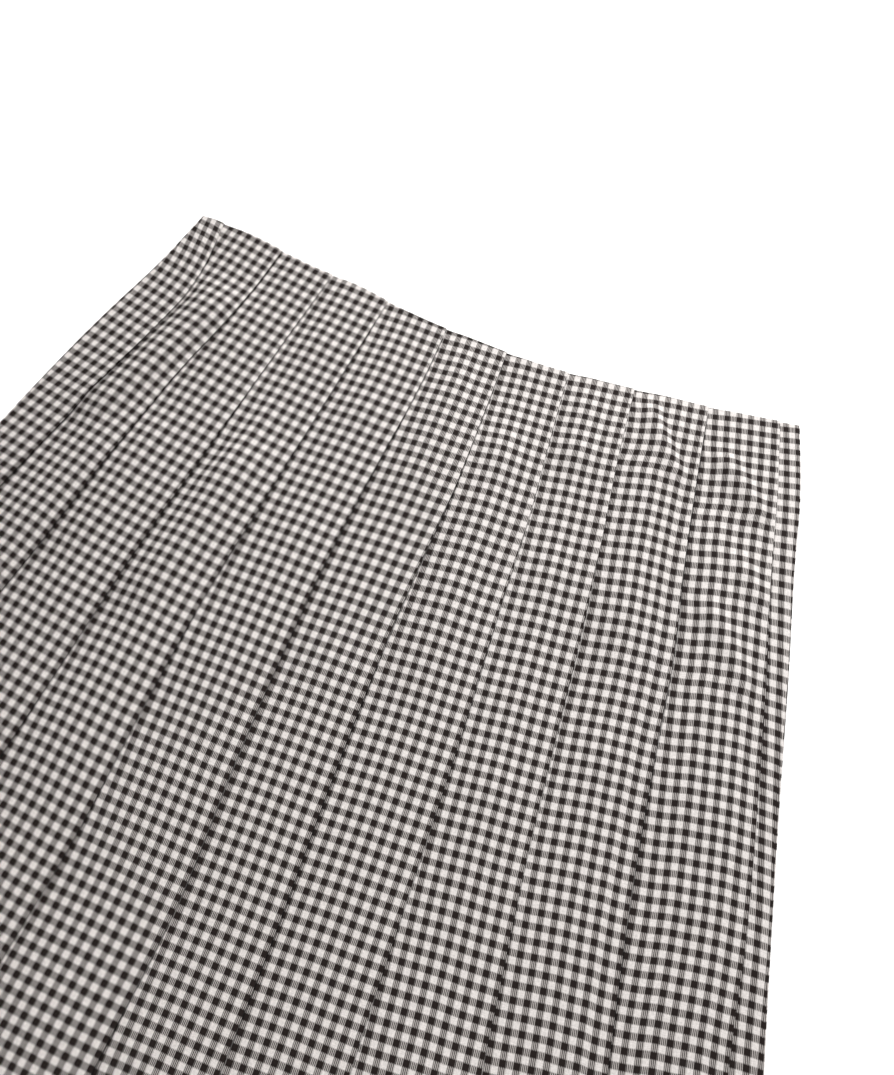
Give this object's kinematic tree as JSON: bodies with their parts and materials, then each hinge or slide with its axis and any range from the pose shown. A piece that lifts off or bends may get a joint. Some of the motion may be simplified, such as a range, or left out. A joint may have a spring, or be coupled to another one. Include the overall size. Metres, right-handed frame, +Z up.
{
  "type": "pleated skirt",
  "caption": "Knife-pleated gingham skirt lying flat, front up, flaring from a plain turned waist edge to the hem.",
  "frame": {"origin": "centre of the bottom of the skirt's box, on the surface it lies on", "axes": "+Z up from the surface, out of the skirt's front; +Y from the hem towards the waist; +X to the right seen from above"},
  "size_m": [0.6684, 0.7006, 0.0109],
  "materials": {
    "gingham_cloth": "matt woven cotton, mini gingham of dark and warm white squares"
  },
  "bodies": {
    "root": {"skirt_front": "gingham_cloth", "skirt_back": "gingham_cloth"}
  },
  "joints": []
}
